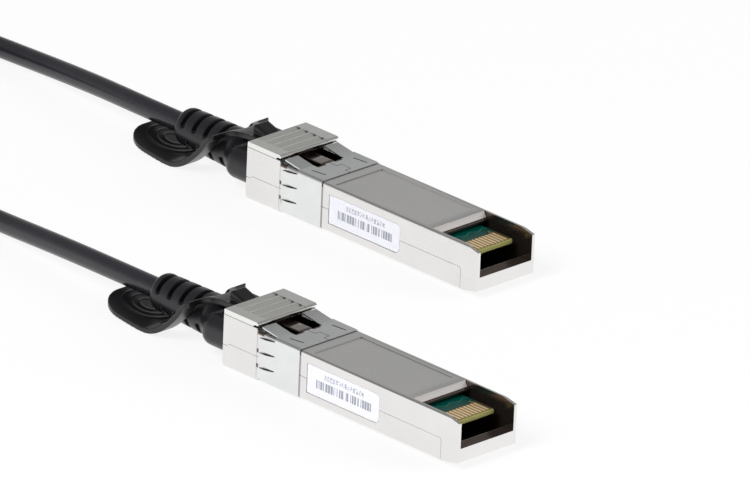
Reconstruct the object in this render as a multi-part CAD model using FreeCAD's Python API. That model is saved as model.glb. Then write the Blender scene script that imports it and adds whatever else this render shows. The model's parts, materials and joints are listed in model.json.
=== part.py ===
import FreeCAD, Part
import math
import os

# Direct attach copper cable: two pluggable ends with pull-tab latches on one thin twinax cable.
# Each end is drawn in its own frame: the nose at x = 0 looking along +X, the underside of the
# body at z = 0 and the latch on top. Millimetres.

V = FreeCAD.Vector

# Body, in two die-cast halves
body_length = 48.0
body_width = 13.4
body_height = 8.5
body_edge = 0.35
side_wall = 0.7
roof = 0.8
floor = 0.8
seam_height = 4.0
seam_corner = 0.5
seam_groove = 0.1
seam_groove_depth = 0.12
nose_casting = 4.0

# Nose, open on top over the board's contacts
mouth_length = 11.6
mouth_wall = 0.6
mouth_slope = 0.55
mouth_slope_drop = 1.1
mouth_ledge = 0.65
mouth_ledge_drop = 0.35
nose_bevel = 0.8
nose_chamfer_length = 3.0
nose_chamfer_drop = 0.7
sill_height = 3.2
sill_rise = 0.44
sill_depth = 1.6

# Head, the taller block behind the cage's shoulder
head_length = 8.0
head_side = 0.1
head_rise = 0.55
head_drop = 0.7
head_round = 1.2
head_seam_drop = 0.43
head_seam_step = 1.0

# Recessed panel in the roof and label pocket in the left side
panel_gap = 2.2
panel_front = 13.5
panel_left_margin = 0.9
panel_right_margin = 1.5
panel_depth = 0.12
panel_dot = 0.35
label_front = 18.7
label_length = 17.3
label_bottom = 1.45
label_height = 5.35
label_round = 1.1
label_pocket = 0.15
label_margin = 0.1
label_thickness = 0.1

# Circuit board with its edge contacts and parts
board_width = 9.2
board_thickness = 1.0
board_drop = 2.0
board_setback = 3.2
board_length = 31.0
board_bevel = 0.25
rail_width = 1.2
rail_gap = 1.4
contact_count = 10
contact_pitch = 0.8
contact_width = 0.5
contact_length = 3.4
contact_inset = 0.4
contact_thickness = 0.05
chip_size = 3.0
chip_height = 0.8
chip_gap = 6.0
capacitor_length = 1.0
capacitor_width = 0.5
capacitor_count = 4
capacitor_pitch = 1.7
capacitor_gap = 2.0

# Cable and its ends inside the plug
cable_diameter = 3.6
cable_height = 4.14
cable_clearance = 0.1
cable_reach = 9.2
wire_diameter = 0.8
wire_sides = 6
wire_spread = 2.4
wire_gather = 0.55
wire_landing = 1.8
wire_lead = 1.2
wire_tail = 3.4
ferrule_length = 3.2
ferrule_wall = 0.45
bay_wall = 1.5

# Spring-finger collar, one stamped sheet folded round the body
collar_gap = 0.6
collar_length = 9.7
collar_sheet = 0.2
finger_length = 3.8
finger_bulge = 0.3
finger_slot_drop = 0.45
finger_pitch = 2.7
finger_slots = 3
slot_root_width = 0.25
slot_tip_width = 1.0
finger_bottom = 0.35
wing_rise = 0.6
wing_side = 0.5
window_length = 4.6
window_half = 3.2
slit_width = 0.3
joint_gap = 0.12

# Latch chamber, rocker and its pin
chamber_depth = 1.7
chamber_gap = 0.2
chamber_half = 3.5
pivot_setback = 1.6
pivot_drop = 0.4
pin_diameter = 0.8
pin_clearance = 0.05
pin_slack = 0.01
pin_seat_share = 0.75
rocker_thickness = 0.78
rocker_gap = 0.35
rocker_tongue = 1.45
rocker_waist = 1.6
hub_radius = 0.8
ear_arm = 3.6
ear_length = 1.0
boss_setback = 3.06
boss_height = 0.5
boss_width = 2.4
boss_length = 2.2
boss_crest = 0.7
latch_travel = 0.12

# Slider, return spring and their travel
pull_travel = 2.5
slider_thickness = 0.5
slider_gap = 0.12
slider_lead = 0.9
slider_tail_length = 2.0
slider_side_gap = 0.4
ramp_width = 0.8
ramp_length = 2.3
ramp_clearance = 0.04
lug_length = 0.7
lug_height = 0.6
lug_clearance = 0.15
spring_radius = 0.7
spring_wire = 0.3
spring_turns = 4
spring_steps = 10
spring_wire_sides = 4
pocket_wall = 0.75
pocket_depth = 0.1

# Ribbed cover plate over the latch chamber
cover_thickness = 1.0
cover_overhang = 0.2
cover_lip = 0.65
cover_lip_length = 0.9
cover_bevel = 0.15
rib_count = 4
rib_pitch = 1.93
rib_start = 1.1
rib_right_margin = 2.65
rib_left_margin = 2.2
rib_radius = 1.4
rib_depth = 0.22
peg_side = 0.9
peg_length = 1.2
peg_clearance = 0.05
peg_front = 1.2
peg_rear = 1.4

# Strain relief moulded on the cable
boot_length = 22.0
boot_block_length = 4.3
boot_block_margin = 0.4
boot_block_low = 1.1
boot_block_chamfer = 1.5
boot_round_length = 1.7
boot_round_inset = 0.8
boot_taper_length = 1.8
boot_neck_radius = 3.1
boot_end_bevel = 0.5
boot_flange_lead = 2.4
boot_flange_thickness = 1.5
boot_flange_margin = 1.8
boot_throat_margin = 2.6
boot_throat_step = 0.6
boot_flange_step = 0.1
boot_roof = 0.45
boot_core_wall = 0.5
boot_sides = 16
boot_bore_sides = 8
boot_slot_count = 4
boot_slot_start = 3.3
boot_slot_pitch = 2.9
boot_slot_width = 1.05
boot_slot_side = 0.9

# Pull tab, one flexible moulding with two legs round the strain relief
tab_length = 31.2
tab_half = 7.0
tab_neck_half = 2.85
tab_neck_end_half = 3.0
tab_neck_gap = 0.15
tab_neck_cap = 0.4
tab_neck_top_gap = 0.25
tab_lug_rise = 1.2
tab_lug_half = 1.9
tab_lug_inset = 0.5
tab_lug_ramp = 1.2
tab_lug_soft = 0.25
tab_lug_start = 3.2
tab_lug_length = 3.1
tab_strap = 0.9
tab_strap_drop = 0.5
tab_bend_lead = 2.6
tab_side_lead = 5.3
tab_leg_gap = 0.65
tab_fork_gap = 0.8
tab_fork_length = 11.3
tab_fork_rest = 1.8
tab_fork_flat = 1.2
tab_fork_bow = 1.5
tab_fork_round = 0.8
tab_shoulder = 1.6
tab_corner = 6.0
tab_paddle_dip = 0.47
tab_tip_rise = 1.68

# Lay-out of the two plugs and the cord between them
plug_spacing = (49.8, -53.2)
coil_centre = (-150.0, -22.5)
coil_inner = 12.8
coil_outer = 27.2
coil_layers = 2
tie_sheet = 0.7
tie_width = 9.0
tie_slack = 0.2
cable_straight = 10.0

# Places that follow from the sizes above, measured back from the nose or up from the body's underside
cable_radius = cable_diameter / 2
half_width = body_width / 2
head_half = half_width + head_side
head_rear = body_length + head_length
head_top = body_height + head_rise
board_top = body_height - board_drop
board_bottom = board_top - board_thickness
board_end = board_setback + board_length
rail_front = mouth_length + rail_gap
label_rear = label_front + label_length
label_top = label_bottom + label_height
collar_rear = body_length - collar_gap
collar_front = collar_rear - collar_length
finger_root = collar_rear - finger_length
window_front = collar_rear - window_length
panel_rear = collar_front - panel_gap
chamber_front = window_front + chamber_gap
chamber_floor = body_height - chamber_depth
bay_rear = chamber_front - bay_wall
peg_place = (chamber_half + head_half) / 2
pin_seat = pin_seat_share * (peg_place - peg_side / 2 - chamber_half)
pivot_place = body_length + pivot_setback
pivot_height = body_height - pivot_drop
ear_front = pivot_place + ear_arm
boss_place = body_length - boss_setback
cable_stop = head_rear - cable_reach
slider_front = pivot_place + slider_lead
slider_half = chamber_half - slider_side_gap
slider_low = pivot_height - rocker_thickness / 2 - slider_gap - slider_thickness
pocket_side = head_half - pocket_wall
pocket_floor = chamber_floor - pocket_depth
spring_rear = head_rear - roof
spring_place = (chamber_half + pocket_side) / 2
spring_height = pocket_floor + spring_radius + spring_wire
boot_block_end = head_rear + boot_block_length
boot_round_end = boot_block_end + boot_round_length
boot_neck_end = boot_round_end + boot_taper_length
boot_end = head_rear + boot_length
boot_block_half = head_half - boot_block_margin
boot_block_high = chamber_floor
boot_flange_front = head_rear - boot_flange_lead
boot_flange_rear = boot_flange_front + boot_flange_thickness
boot_flange_half = head_half - boot_flange_margin
boot_throat_half = head_half - boot_throat_margin
boot_core_radius = cable_radius + boot_core_wall
lug_start = head_rear + tab_lug_start
lug_end = lug_start + tab_lug_length
neck_low = chamber_floor + tab_neck_gap
neck_high = head_top - tab_neck_top_gap
fork_start = lug_end + tab_fork_gap
fork_end = fork_start + tab_fork_length
leg_inner = boot_neck_radius + tab_leg_gap
tab_reach = head_rear + tab_length


def block(x, y, z):
    """Box between two limits along each axis."""
    low = V(min(x), min(y), min(z))
    return Part.makeBox(abs(x[1] - x[0]), abs(y[1] - y[0]), abs(z[1] - z[0]), low)


def rounded_block(x, y, z, radius, direction, pick=None):
    """Box whose edges along one direction are rounded, all of them or those that pick accepts."""
    body = block(x, y, z)
    edges = [edge for edge in body.Edges
             if abs(edge.tangentAt(edge.FirstParameter).dot(direction)) > 0.99
             and (pick is None or pick(edge.CenterOfMass))]
    return body.makeFillet(radius, edges)


def side_profile(points, y):
    """Outline of (x, z) points, extruded between two Y limits."""
    corners = [V(x, min(y), z) for x, z in points]
    face = Part.Face(Part.makePolygon(corners + corners[:1]))
    return face.extrude(V(0, abs(y[1] - y[0]), 0))


def plan_profile(points, z):
    """Outline of (x, y) points, extruded between two Z limits."""
    corners = [V(x, y, min(z)) for x, y in points]
    face = Part.Face(Part.makePolygon(corners + corners[:1]))
    return face.extrude(V(0, 0, abs(z[1] - z[0])))


def rod(radius, start, end):
    """Round bar between two points."""
    axis = end - start
    return Part.makeCylinder(radius, axis.Length, start, axis)


def tapered(first, second):
    """Solid between two outlines whose matching sides are parallel."""
    faces = [Part.Face(Part.makePolygon(ring + ring[:1])) for ring in (first, second)]
    for index in range(len(first)):
        after = (index + 1) % len(first)
        corners = [first[index], first[after], second[after], second[index]]
        faces.append(Part.Face(Part.makePolygon(corners + corners[:1])))
    return Part.makeSolid(Part.makeShell(faces))


def bar_along(points, radius, sides):
    """Bar of a regular section in straight lengths, mitred at each point of its path."""
    along = (points[1] - points[0]).normalize()
    outward = V(0, 1, 0)
    upward = along.cross(outward).normalize()
    corners = []
    for index in range(sides):
        angle = 2 * math.pi * index / sides
        corners.append(points[0] + (outward * math.cos(angle) + upward * math.sin(angle)) * radius)
    section = Part.makePolygon(corners + corners[:1])
    return Part.makePolygon(points).makePipeShell([section], True, False, 1)


def hexagon_bar(flat, front, rear):
    """Hexagonal bar on the cable's line, of one half width across its flats."""
    radius = flat / math.cos(math.pi / 6)
    return bar_along([V(-front, 0, cable_height), V(-rear, 0, cable_height)], radius, 6)


def joined(shapes):
    """Fused solid of several shapes, with the seams between flat faces removed."""
    whole = shapes[0].fuse(shapes[1:])
    return whole.removeSplitter()


def arc_path(points):
    """Straight runs joined by tangent arcs, each as large as its two runs allow."""
    edges = []
    radii = []
    last = points[0]
    for before, corner, after in zip(points, points[1:], points[2:]):
        run_in = corner - before
        run_out = after - corner
        turn = run_in.getAngle(run_out)
        setback = 0.45 * min(run_in.Length, run_out.Length)
        radii.append(setback / math.tan(turn / 2))
        start = corner - run_in * (setback / run_in.Length)
        end = corner + run_out * (setback / run_out.Length)
        inward = (start - corner) + (end - corner)
        inward.normalize()
        bulge = radii[-1] / math.cos(turn / 2) - radii[-1]
        edges.append(Part.LineSegment(last, start).toShape())
        edges.append(Part.Arc(start, corner + inward * bulge, end).toShape())
        last = end
    edges.append(Part.LineSegment(last, points[-1]).toShape())
    return Part.Wire(edges), radii


def tube(points, radius):
    """Round solid along a path of straight runs and tangent arcs."""
    path, radii = arc_path(points)
    circle = Part.Circle(points[0], points[1] - points[0], radius).toShape()
    solid = path.makePipeShell([Part.Wire(circle)], True, False)
    return solid, path.Length, radii


# Casing

def seam_outline(shift=0.0, lift=0.0):
    """Parting line of the two halves, from below the nose to behind the head, as (x, z) points."""
    line = [(-nose_casting + shift, -5.0)]
    line.append((-nose_casting + shift, seam_height - seam_corner + lift))
    for count in range(1, 4):
        angle = math.radians(30 * count)
        line.append((-nose_casting - seam_corner * (1 - math.cos(angle)) + shift * math.cos(angle),
                     seam_height - seam_corner * (1 - math.sin(angle)) + lift * math.sin(angle)))
    line.append((-body_length, seam_height + lift))
    line.append((-(head_rear - head_seam_step - head_seam_drop), seam_height + lift))
    line.append((-(head_rear - head_seam_step), seam_height - head_seam_drop + lift))
    line.append((-head_rear - 5.0, seam_height - head_seam_drop + lift))
    return line


def lower_region():
    """Space under the parting line."""
    line = seam_outline()
    line.append((line[-1][0], line[0][1]))
    return side_profile(line, (-body_width, body_width))


def seam_cut():
    """Shallow groove that shows the parting line on the outside."""
    half = seam_groove / 2
    ribbon = seam_outline(half, half) + seam_outline(-half, -half)[::-1]
    outer = side_profile(ribbon, (-body_width, body_width))
    body_core = half_width - seam_groove_depth
    upright = (-head_drop - 5, head_top + 5)
    keep_body = block((-body_length, 5), (-body_core, body_core), upright)
    head_core = head_half - seam_groove_depth
    keep_head = block((-head_rear + seam_groove_depth, -body_length), (-head_core, head_core), upright)
    under = block((-nose_casting - 1, 5), (-half_width, half_width), (-1, seam_groove_depth))
    return outer.cut(keep_body).cut(keep_head).fuse(outer.common(under))


def casing_form():
    """Outer form of the body and head, before any hollow."""
    along = V(1, 0, 0)
    body = rounded_block((-body_length - 1, 0), (-half_width, half_width), (0, body_height),
                         body_edge, along)
    bevel = side_profile([(-nose_casting, 0), (1, -1), (1, nose_bevel * (1 + 1 / nose_casting))],
                         (-body_width, body_width))
    slope = nose_chamfer_drop / nose_chamfer_length
    chamfer = side_profile([(-nose_chamfer_length, body_height), (1, body_height + 1),
                            (1, body_height - nose_chamfer_drop - slope)], (-body_width, body_width))
    head = rounded_block((-head_rear, -body_length), (-head_half, head_half), (-head_drop, head_top),
                         head_round, along, lambda centre: centre.z < 0)
    return joined([body.cut(bevel).cut(chamfer), head])


def mouth_cut():
    """Opening of the nose, from the front and from above."""
    inner = half_width - mouth_wall
    slope_foot = -mouth_length + mouth_slope
    ledge_front = slope_foot + mouth_ledge
    shape = [(1, sill_height), (1, body_height + 1), (-mouth_length, body_height + 1),
             (-mouth_length, body_height), (slope_foot, body_height - mouth_slope_drop),
             (ledge_front, body_height - mouth_slope_drop),
             (ledge_front, body_height - mouth_slope_drop - mouth_ledge_drop),
             (-mouth_length - 3, body_height - mouth_slope_drop - mouth_ledge_drop),
             (-mouth_length - 3, floor), (-sill_depth - 0.5, floor), (-sill_depth, sill_height + sill_rise),
             (0, sill_height)]
    return side_profile(shape, (-inner, inner))


def bay_cut():
    """Room for the board and the wires, from the mouth back to the cable's ferrule."""
    inner = half_width - side_wall
    board_bay = block((-bay_rear, -mouth_length), (-inner, inner), (floor, body_height - roof))
    wire_half = wire_spread + wire_diameter
    throat_top = chamber_floor - roof
    wire_bay = block((-cable_stop, -bay_rear + 1), (-wire_half, wire_half), (floor + 0.9, throat_top))
    ferrule_end = cable_stop + ferrule_length + cable_clearance
    seat = hexagon_bar(cable_radius + ferrule_wall + cable_clearance, cable_stop, ferrule_end)
    passage = hexagon_bar(cable_radius + cable_clearance, cable_stop, head_rear + 1)
    groove = block((-boot_flange_rear, -boot_flange_front), (-boot_flange_half, boot_flange_half),
                   (boot_block_low + boot_flange_step, boot_block_high - boot_roof))
    throat = block((-head_rear - 1, -boot_flange_rear + 0.1), (-boot_throat_half, boot_throat_half),
                   (boot_block_low + boot_throat_step, boot_block_high - boot_roof))
    return board_bay.fuse([wire_bay, seat, passage, groove, throat])


def chamber_cut():
    """Latch chamber in the top of the head, with the spring's pocket and the pin's slots."""
    across = (-chamber_half, chamber_half)
    room = block((-head_rear - 1, -chamber_front), across, (chamber_floor, head_top + 1))
    pocket = block((-spring_rear, -slider_front + 0.2), (0, pocket_side), (pocket_floor, head_top + 1))
    reach = chamber_half + pin_seat
    slot_radius = pin_diameter / 2
    bore = rod(slot_radius, V(-pivot_place, -reach, pivot_height), V(-pivot_place, reach, pivot_height))
    slot = block((-pivot_place - slot_radius, -pivot_place + slot_radius), (-reach, reach),
                 (pivot_height, head_top + 1))
    return room.fuse([pocket, bore, slot])


def pegs(clearance, top):
    """Three square pegs that locate the cover plate, or their holes with a clearance."""
    reach = peg_side / 2 + clearance
    upright = (head_top - peg_length - clearance, top)
    shapes = []
    front = -body_length - peg_front
    for x, y in ((front, peg_place), (front, -peg_place), (-head_rear + peg_rear, -peg_place)):
        shapes.append(block((x - reach, x + reach), (y - reach, y + reach), upright))
    return shapes


def casing_halves():
    """Upper half with the nose, and lower half, parted along the seam."""
    form = casing_form()
    form = form.cut([mouth_cut(), bay_cut(), chamber_cut(), seam_cut()])
    pocket = rounded_block((-label_rear, -label_front), (-half_width, -half_width + label_pocket),
                           (label_bottom, label_top), label_round, V(0, 1, 0),
                           lambda centre: centre.x > -label_rear + 1)
    panel_right = half_width - panel_right_margin
    panel = block((-panel_rear, -panel_front), (-half_width + panel_left_margin, panel_right),
                  (body_height - panel_depth, body_height + 1))
    dot_x = -panel_rear + panel_dot
    dot_y = panel_right - panel_dot
    dot = rod(panel_dot / 2, V(dot_x, dot_y, body_height - 3 * panel_depth), V(dot_x, dot_y, body_height))
    holes = pegs(peg_clearance, head_top + 1)
    form = form.cut([pocket, panel, dot] + holes)
    under = lower_region()
    upper = form.cut(under)
    lower = form.common(under)
    inner = half_width - side_wall
    board_half = board_width / 2
    upper_rails = []
    lower_rails = []
    for side in (-1, 1):
        across = (side * (board_half - rail_width), side * (inner + 0.1))
        upper_rails.append(block((-board_end, -rail_front), across, (board_top, body_height - roof + 0.1)))
        below = (side * (board_half - rail_width), side * (inner - cable_clearance))
        stand = block((-board_end, -rail_front), below, (floor - 0.1, board_bottom))
        foot = block((-board_end, -rail_front), (side * (inner - 0.3), side * (inner + 0.1)),
                     (floor - 0.1, seam_height - 1))
        lower_rails.extend([stand, foot])
    return joined([upper] + upper_rails), joined([lower] + lower_rails)


def cover_plate():
    """Ribbed plate over the latch chamber, with a thin front lip and three pegs."""
    front = -body_length + cover_overhang
    top = head_top + cover_thickness
    lip_low = top - cover_lip
    lip_root = front - cover_lip_length
    shape = [(-head_rear, head_top), (lip_root - (lip_low - head_top), head_top), (lip_root, lip_low),
             (front - cover_bevel, lip_low), (front, lip_low + cover_bevel), (front, top - 2 * cover_bevel),
             (front - 2 * cover_bevel, top), (-head_rear + cover_bevel, top),
             (-head_rear, top - cover_bevel)]
    plate = side_profile(shape, (-head_half, head_half))
    sink = rib_radius - rib_depth
    for index in range(rib_count):
        x = -(head_rear - rib_start - index * rib_pitch)
        groove = rod(rib_radius, V(x, -head_half + rib_left_margin, top + sink),
                     V(x, head_half - rib_right_margin, top + sink))
        plate = plate.cut(groove)
    return joined([plate] + pegs(0, head_top + 0.1))


# Collar

def collar_section(inset):
    """Collar's outer or inner form across the body, over its whole length."""
    grow = collar_sheet - inset
    return rounded_block((-collar_rear, -collar_front), (-half_width - grow, half_width + grow),
                         (-grow, body_height + grow), body_edge + grow, V(1, 0, 0))


def finger_wall(side, z):
    """Side wall of the collar behind the finger roots: a sheet that bulges outward and tucks in again."""
    outer = half_width + collar_sheet
    middle = (finger_root + collar_rear) / 2
    outer_arc = Part.Arc(V(-finger_root, side * outer, z[0]),
                         V(-middle, side * (outer + finger_bulge), z[0]),
                         V(-collar_rear, side * outer, z[0])).toShape()
    inner_arc = Part.Arc(V(-collar_rear, side * half_width, z[0]),
                         V(-middle, side * (outer + finger_bulge - collar_sheet), z[0]),
                         V(-finger_root, side * half_width, z[0])).toShape()
    tip = Part.LineSegment(outer_arc.lastVertex(True).Point, inner_arc.firstVertex(True).Point).toShape()
    root = Part.LineSegment(inner_arc.lastVertex(True).Point, outer_arc.firstVertex(True).Point).toShape()
    wire = Part.Wire(Part.__sortEdges__([outer_arc, tip, inner_arc, root]))
    return Part.Face(wire).extrude(V(0, 0, z[1] - z[0]))


def slot_wedge(side, height):
    """Tapered slot between two side fingers."""
    root_half = slot_root_width / 2
    tip_half = slot_tip_width / 2
    outline = [(-finger_root, height - root_half), (-finger_root, height + root_half),
               (-collar_rear - 0.1, height + tip_half), (-collar_rear - 0.1, height - tip_half)]
    return side_profile(outline, (side * (half_width - 1), side * (half_width + 2)))


def line_cut(points, width, z):
    """Narrow cut along straight stretches in plan."""
    cuts = []
    for (xa, ya), (xb, yb) in zip(points, points[1:]):
        run = V(xb - xa, yb - ya, 0)
        length = run.Length + width
        bar = Part.makeBox(length, width, z[1] - z[0], V(-width / 2, -width / 2, z[0]))
        bar.rotate(V(0, 0, 0), V(0, 0, 1), math.degrees(math.atan2(run.y, run.x)))
        bar.translate(V(xa, ya, 0))
        cuts.append(bar)
    return cuts


def collar():
    """Stamped collar: a closed band in front, with sprung fingers behind it on every side."""
    shell = collar_section(0).cut(collar_section(collar_sheet))
    band = shell.common(block((-finger_root, 0), (-body_width, body_width), (-head_drop - 5, head_top + 5)))
    parts = [band]
    for side in (-1, 1):
        heights = [body_height - finger_slot_drop - index * finger_pitch for index in range(finger_slots)]
        wall = finger_wall(side, (finger_bottom, heights[0]))
        parts.append(wall.cut([slot_wedge(side, height) for height in heights]))
        wing_out = half_width - wing_side
        top = body_height + collar_sheet
        wing = side_profile([(-finger_root, top), (-finger_root, top - collar_sheet),
                             (-collar_rear, top + wing_rise - collar_sheet),
                             (-collar_rear, top + wing_rise)],
                            (side * window_half, side * wing_out))
        parts.append(wing)
        gap = body_width / 4
        for place in (side * gap / 2, side * (half_width - gap / 2)):
            half = gap / 2 - slot_root_width
            across = (place - half, place + half)
            parts.append(block((-collar_rear, -finger_root), across, (-collar_sheet, 0)))
    ring = joined(parts)
    sky = (body_height - 0.05, body_height + 1)
    edge = -window_front
    window = block((-collar_rear - 1, edge), (-window_half, window_half), sky)
    left_notch = block((edge, edge + 0.45), (-window_half, -window_half * 0.4), sky)
    right_notch = block((edge, edge + 0.45), (window_half * 0.25, window_half * 0.8), sky)
    left_slit = line_cut([(edge + 0.8, -4.9), (edge + 3.4, -4.45)], slit_width, sky)
    right_slit = line_cut([(edge + 1.2, 4.5), (edge + 3.9, 4.8)], slit_width, sky)
    front = -collar_front
    joint = line_cut([(edge - 0.1, -0.2), (edge + 1.8, -0.2), (edge + 1.8, 0.87), (front - 1.0, 0.87),
                      (front - 1.0, -0.36), (front + 0.1, -0.36)], joint_gap, sky)
    return ring.cut([window, left_notch, right_notch] + left_slit + right_slit + joint)


# Latch

def level_rectangle(x, half_x, half_y, z):
    """Corners of a rectangle at one height, centred on the plug's middle line."""
    corners = ((half_x, -half_y), (half_x, half_y), (-half_x, half_y), (-half_x, -half_y))
    return [V(x + along, across, z) for along, across in corners]


def rocker():
    """Rocker with the latch boss in front, a hub on the pin and two lifted ears at the rear."""
    low = pivot_height - rocker_thickness / 2
    high = pivot_height + rocker_thickness / 2
    ear_rear = ear_front + ear_length
    outline = []
    for x, half in ((chamber_front + rocker_gap, rocker_tongue), (body_length, rocker_tongue),
                    (body_length + 0.6, rocker_waist), (ear_front, rocker_waist), (ear_front, slider_half),
                    (ear_rear, slider_half)):
        outline.append((-x, half))
    outline = outline + [(x, -half) for x, half in reversed(outline)]
    plate = plan_profile(outline, (low, high))
    hub = rod(hub_radius, V(-pivot_place, -rocker_waist, pivot_height),
              V(-pivot_place, rocker_waist, pivot_height))
    base = level_rectangle(-boss_place, boss_length / 2, boss_width / 2, high)
    peak = level_rectangle(-boss_place, boss_crest / 2, boss_crest / 2, body_height + boss_height)
    boss = tapered(base, peak)
    bore = rod(pin_diameter / 2 + pin_clearance, V(-pivot_place, -chamber_half, pivot_height),
               V(-pivot_place, chamber_half, pivot_height))
    return joined([plate, hub, boss]).cut(bore)


def rocker_pin():
    """Steel pin that the rocker turns on, seated in the casing's slots."""
    reach = chamber_half + pin_seat - pin_clearance
    radius = pin_diameter / 2 - pin_slack
    return rod(radius, V(-pivot_place, -reach, pivot_height), V(-pivot_place, reach, pivot_height))


def slider():
    """Stamped slider in the latch chamber: two ramps under the ears and a lug on the spring."""
    high = slider_low + slider_thickness
    tail = head_rear + slider_tail_length
    plate = block((-tail, -slider_front), (-slider_half, slider_half), (slider_low, high))
    ramp_rise = ramp_length * latch_travel / pull_travel * ear_arm - ramp_clearance
    parts = [plate]
    for side in (-1, 1):
        ramp = side_profile([(-ear_front, high), (-ear_front + ramp_length, high),
                             (-ear_front + ramp_length, high + ramp_rise)],
                            (side * (slider_half - ramp_width), side * slider_half))
        parts.append(ramp)
    reach = pocket_side - lug_clearance
    across = (-slider_front - lug_length, -slider_front)
    parts.append(block(across, (0, reach), (slider_low, high)))
    parts.append(block(across, (chamber_half, reach), (slider_low, high + lug_height)))
    return joined(parts)


def spring():
    """Compression spring that returns the slider, wound in short straight lengths."""
    front = slider_front + lug_length + spring_wire / 2
    length = spring_rear - front - spring_wire / 2
    steps = spring_turns * spring_steps
    points = []
    for index in range(steps + 1):
        angle = 2 * math.pi * index / spring_steps
        points.append(V(-front - length * index / steps, spring_place + spring_radius * math.cos(angle),
                        spring_height + spring_radius * math.sin(angle)))
    return bar_along(points, spring_wire / 2, spring_wire_sides)


# Strain relief and pull tab

def round_section(radius, x):
    """Corners of the sleeve's many-sided outline across the plug at one X station."""
    angles = [2 * math.pi * (index + 0.5) / boot_sides for index in range(boot_sides)]
    return [V(x, radius * math.cos(angle), cable_height + radius * math.sin(angle)) for angle in angles]


def chamfered_section(half_y, low, high, cut, x):
    """Corners of a rectangle with cut corners, across the plug at one X station."""
    corners = []
    for y, z, side_first in ((-half_y, low, True), (half_y, low, False), (half_y, high, True),
                             (-half_y, high, False)):
        toward_y = cut if y < 0 else -cut
        toward_z = cut if z == low else -cut
        along_y = V(x, y + toward_y, z)
        along_z = V(x, y, z + toward_z)
        corners.extend([along_z, along_y] if side_first else [along_y, along_z])
    return corners


def boot():
    """Strain relief: square shoulder, tapered neck and a slotted sleeve round the cable."""
    size = (boot_block_half, boot_block_low, boot_block_high, boot_block_chamfer)
    front = chamfered_section(*size, -head_rear)
    rear = chamfered_section(*size, -boot_block_end)
    rounded = chamfered_section(boot_block_half - boot_round_inset, boot_block_low + boot_round_inset,
                                boot_block_high, boot_block_chamfer, -boot_round_end)
    octagon = boot_neck_radius * (2 - math.sqrt(2))
    neck = chamfered_section(boot_neck_radius, cable_height - boot_neck_radius,
                             cable_height + boot_neck_radius, octagon, -boot_neck_end)
    flange = block((-boot_flange_rear, -boot_flange_front), (-boot_flange_half, boot_flange_half),
                   (boot_block_low + boot_flange_step, boot_block_high - boot_roof))
    throat = block((-head_rear, -boot_flange_rear), (-boot_throat_half, boot_throat_half),
                   (boot_block_low + boot_throat_step, boot_block_high - boot_roof))
    rim = -boot_end + boot_end_bevel
    sleeve = tapered(round_section(boot_neck_radius, -boot_neck_end), round_section(boot_neck_radius, rim))
    tip = tapered(round_section(boot_neck_radius, rim),
                  round_section(boot_neck_radius - boot_end_bevel, -boot_end))
    body = joined([flange, throat, tapered(front, rear), tapered(rear, rounded), tapered(rounded, neck),
                   sleeve, tip])
    sleeve_line = [V(-boot_neck_end, 0, cable_height), V(-boot_end, 0, cable_height)]
    core = bar_along(sleeve_line, boot_core_radius, boot_bore_sides)
    cuts = []
    half = boot_slot_width / 2
    wide = 2 * boot_neck_radius
    for index in range(boot_slot_count):
        top = boot_neck_end + boot_slot_start + index * boot_slot_pitch
        low = top - boot_slot_pitch / 2
        above = (cable_height + boot_slot_side, cable_height + wide)
        below = (cable_height - wide, cable_height - boot_slot_side)
        cuts.append(block((-top - half, -top + half), (-wide, wide), above).cut(core))
        cuts.append(block((-low - half, -low + half), (-wide, wide), below).cut(core))
    bore_radius = cable_radius / math.cos(math.pi / boot_bore_sides)
    bore_line = [V(-boot_flange_front + 1, 0, cable_height), V(-boot_end - 1, 0, cable_height)]
    bore = bar_along(bore_line, bore_radius, boot_bore_sides)
    return body.cut(cuts).cut(bore)


def tab_path():
    """Middle line of the strap in side view, from the lug down beside the boot to the paddle's tip."""
    strap_top = neck_high - tab_strap_drop
    rest = -head_drop + tab_paddle_dip
    return [V(-lug_start, 0, strap_top), V(-lug_end - tab_bend_lead, 0, strap_top),
            V(-lug_end - tab_side_lead, 0, cable_height), V(-fork_end + tab_fork_rest, 0, rest),
            V(-boot_end, 0, rest), V(-tab_reach - 1, 0, rest + tab_tip_rise)]


def strap_form():
    """Strap and paddle as one strip of even width, thinner at the paddle."""
    path = arc_path(tab_path())[0]
    first = tab_path()[0]
    half = tab_strap / 2
    profile = Part.makePolygon([V(first.x, -tab_half, first.z - half), V(first.x, tab_half, first.z - half),
                                V(first.x, tab_half, first.z + half), V(first.x, -tab_half, first.z + half),
                                V(first.x, -tab_half, first.z - half)])
    return path.makePipeShell([profile], True, False)


def tab_outline():
    """Plan of the strap: a narrow top, shoulders, two legs and a rounded paddle."""
    height = (-head_drop - 1, head_top + 2)
    outline = [(-lug_start + 1, tab_neck_end_half)]
    for count in range(4):
        angle = math.radians(30 * count)
        outline.append((-lug_end - tab_shoulder * math.sin(angle),
                        tab_neck_end_half + (tab_half - tab_neck_end_half) * (1 - math.cos(angle))))
    outline.append((-tab_reach - 2, tab_half))
    strip = plan_profile(outline + [(x, -y) for x, y in reversed(outline)], height)
    paddle = rounded_block((-tab_reach, -fork_start), (-tab_half, tab_half), height, tab_corner, V(0, 0, 1),
                           lambda centre: centre.x < -tab_reach + 1)
    root = block((-fork_start - 0.1, 0), (-tab_half, tab_half), height)
    opening = [(-fork_start, tab_fork_flat), (-fork_start - tab_fork_bow, leg_inner),
               (-fork_end + tab_fork_round, leg_inner), (-fork_end, leg_inner - tab_fork_round)]
    fork = plan_profile(opening + [(x, -y) for x, y in reversed(opening)], height)
    return strip.common(paddle.fuse(root)).cut(fork)


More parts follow.
